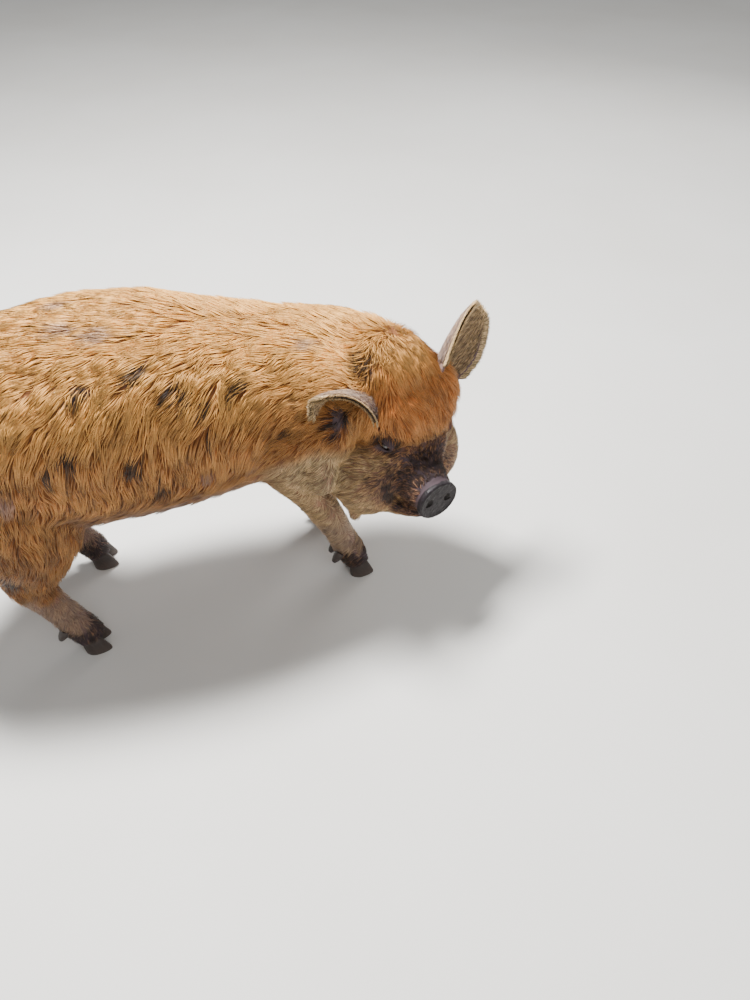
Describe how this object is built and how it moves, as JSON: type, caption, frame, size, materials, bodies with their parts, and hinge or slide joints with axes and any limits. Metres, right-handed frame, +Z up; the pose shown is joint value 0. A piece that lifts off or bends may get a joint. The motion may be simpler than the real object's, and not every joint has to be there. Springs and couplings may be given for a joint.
{
  "type": "kunekune pig",
  "caption": "Standing kunekune pig, life size, with long ginger coat and dark spots, head lowered and turned to its right; cloven hooves rest on the floor.",
  "frame": {"origin": "on the floor at the middle of the pig's bounding box", "axes": "+X the way the body heads, +Y the pig's left, +Z up"},
  "size_m": [0.9684, 0.3348, 0.5466],
  "materials": {
    "ginger_coat": "long ginger hair with dark spots",
    "snout_skin": "damp dark mauve-grey skin",
    "horn": "dull dark brown horn",
    "eye": "wet dark brown"
  },
  "bodies": {
    "root": {"claw_fore_left_inner": "horn", "claw_fore_left_outer": "horn", "claw_fore_right_inner": "horn", "claw_fore_right_outer": "horn", "claw_hind_left_inner": "horn", "claw_hind_left_outer": "horn", "claw_hind_right_inner": "horn", "claw_hind_right_outer": "horn", "dewclaw_fore_left_inner": "horn", "dewclaw_fore_left_outer": "horn", "dewclaw_fore_right_inner": "horn", "dewclaw_fore_right_outer": "horn", "dewclaw_hind_left_inner": "horn", "dewclaw_hind_left_outer": "horn", "dewclaw_hind_right_inner": "horn", "dewclaw_hind_right_outer": "horn", "ear_left": "ginger_coat", "ear_right": "ginger_coat", "eye_left": "eye", "eye_right": "eye", "head": "ginger_coat", "leg_fore_left_lower": "ginger_coat", "leg_fore_left_upper": "ginger_coat", "leg_fore_right_lower": "ginger_coat", "leg_fore_right_upper": "ginger_coat", "leg_hind_left_lower": "ginger_coat", "leg_hind_left_upper": "ginger_coat", "leg_hind_right_lower": "ginger_coat", "leg_hind_right_upper": "ginger_coat", "neck": "ginger_coat", "snout_disc": "snout_skin", "tail": "ginger_coat", "tassel_left": "ginger_coat", "tassel_right": "ginger_coat", "torso": "ginger_coat"}
  },
  "joints": []
}
